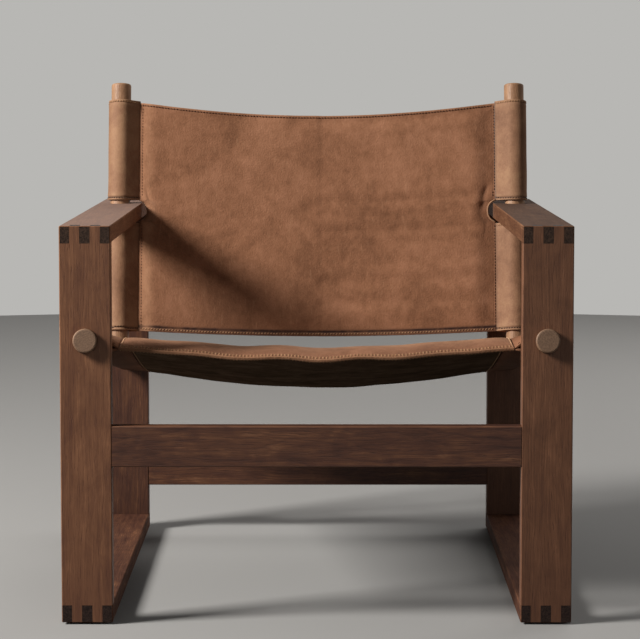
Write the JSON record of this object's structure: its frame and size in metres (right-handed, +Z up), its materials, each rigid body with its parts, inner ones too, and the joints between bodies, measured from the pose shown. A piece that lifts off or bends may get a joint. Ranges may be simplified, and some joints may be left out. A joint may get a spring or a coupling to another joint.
{
  "type": "leather sling lounge chair",
  "caption": "Low armchair with two box-jointed wooden loop frames, stretchers, sloping round rails and reclined posts that carry a padded leather sling seat and back.",
  "frame": {"origin": "on the floor under the middle of the chair, half way between the front and rear faces and between the outer faces of the side frames", "axes": "+X to the right seen from the front, +Y to the back of the chair, +Z up"},
  "size_m": [0.711, 0.766, 0.7521],
  "materials": {
    "frame_wood": "dark brown oiled hardwood, satin, darker end grain",
    "round_wood": "lighter turned hardwood, satin",
    "joint_wood": "plain beech joint dowels",
    "leather_panel": "tan brown nubuck leather, matte, with topstitching",
    "leather_sleeve": "tan brown leather sleeves, matte with a soft sheen",
    "glide_plastic": "black moulded glides"
  },
  "bodies": {
    "root": {"left_arm": "frame_wood", "left_sled": "frame_wood", "left_front_leg": "frame_wood", "left_rear_leg": "frame_wood", "left_front_glide": "glide_plastic", "left_rear_glide": "glide_plastic", "left_seat_rail": "round_wood", "left_back_post": "round_wood", "left_seat_sleeve": "leather_sleeve", "left_back_sleeve_lower": "leather_sleeve", "left_back_sleeve_upper": "leather_sleeve", "left_front_stretcher_dowel_lower": "joint_wood", "left_front_stretcher_dowel_upper": "joint_wood", "left_rear_stretcher_dowel_lower": "joint_wood", "left_rear_stretcher_dowel_upper": "joint_wood", "right_arm": "frame_wood", "right_sled": "frame_wood", "right_front_leg": "frame_wood", "right_rear_leg": "frame_wood", "right_front_glide": "glide_plastic", "right_rear_glide": "glide_plastic", "right_seat_rail": "round_wood", "right_back_post": "round_wood", "right_seat_sleeve": "leather_sleeve", "right_back_sleeve_lower": "leather_sleeve", "right_back_sleeve_upper": "leather_sleeve", "right_front_stretcher_dowel_lower": "joint_wood", "right_front_stretcher_dowel_upper": "joint_wood", "right_rear_stretcher_dowel_lower": "joint_wood", "right_rear_stretcher_dowel_upper": "joint_wood", "front_stretcher": "frame_wood", "rear_stretcher": "frame_wood", "seat_panel": "leather_panel", "back_panel": "leather_panel"}
  },
  "joints": []
}
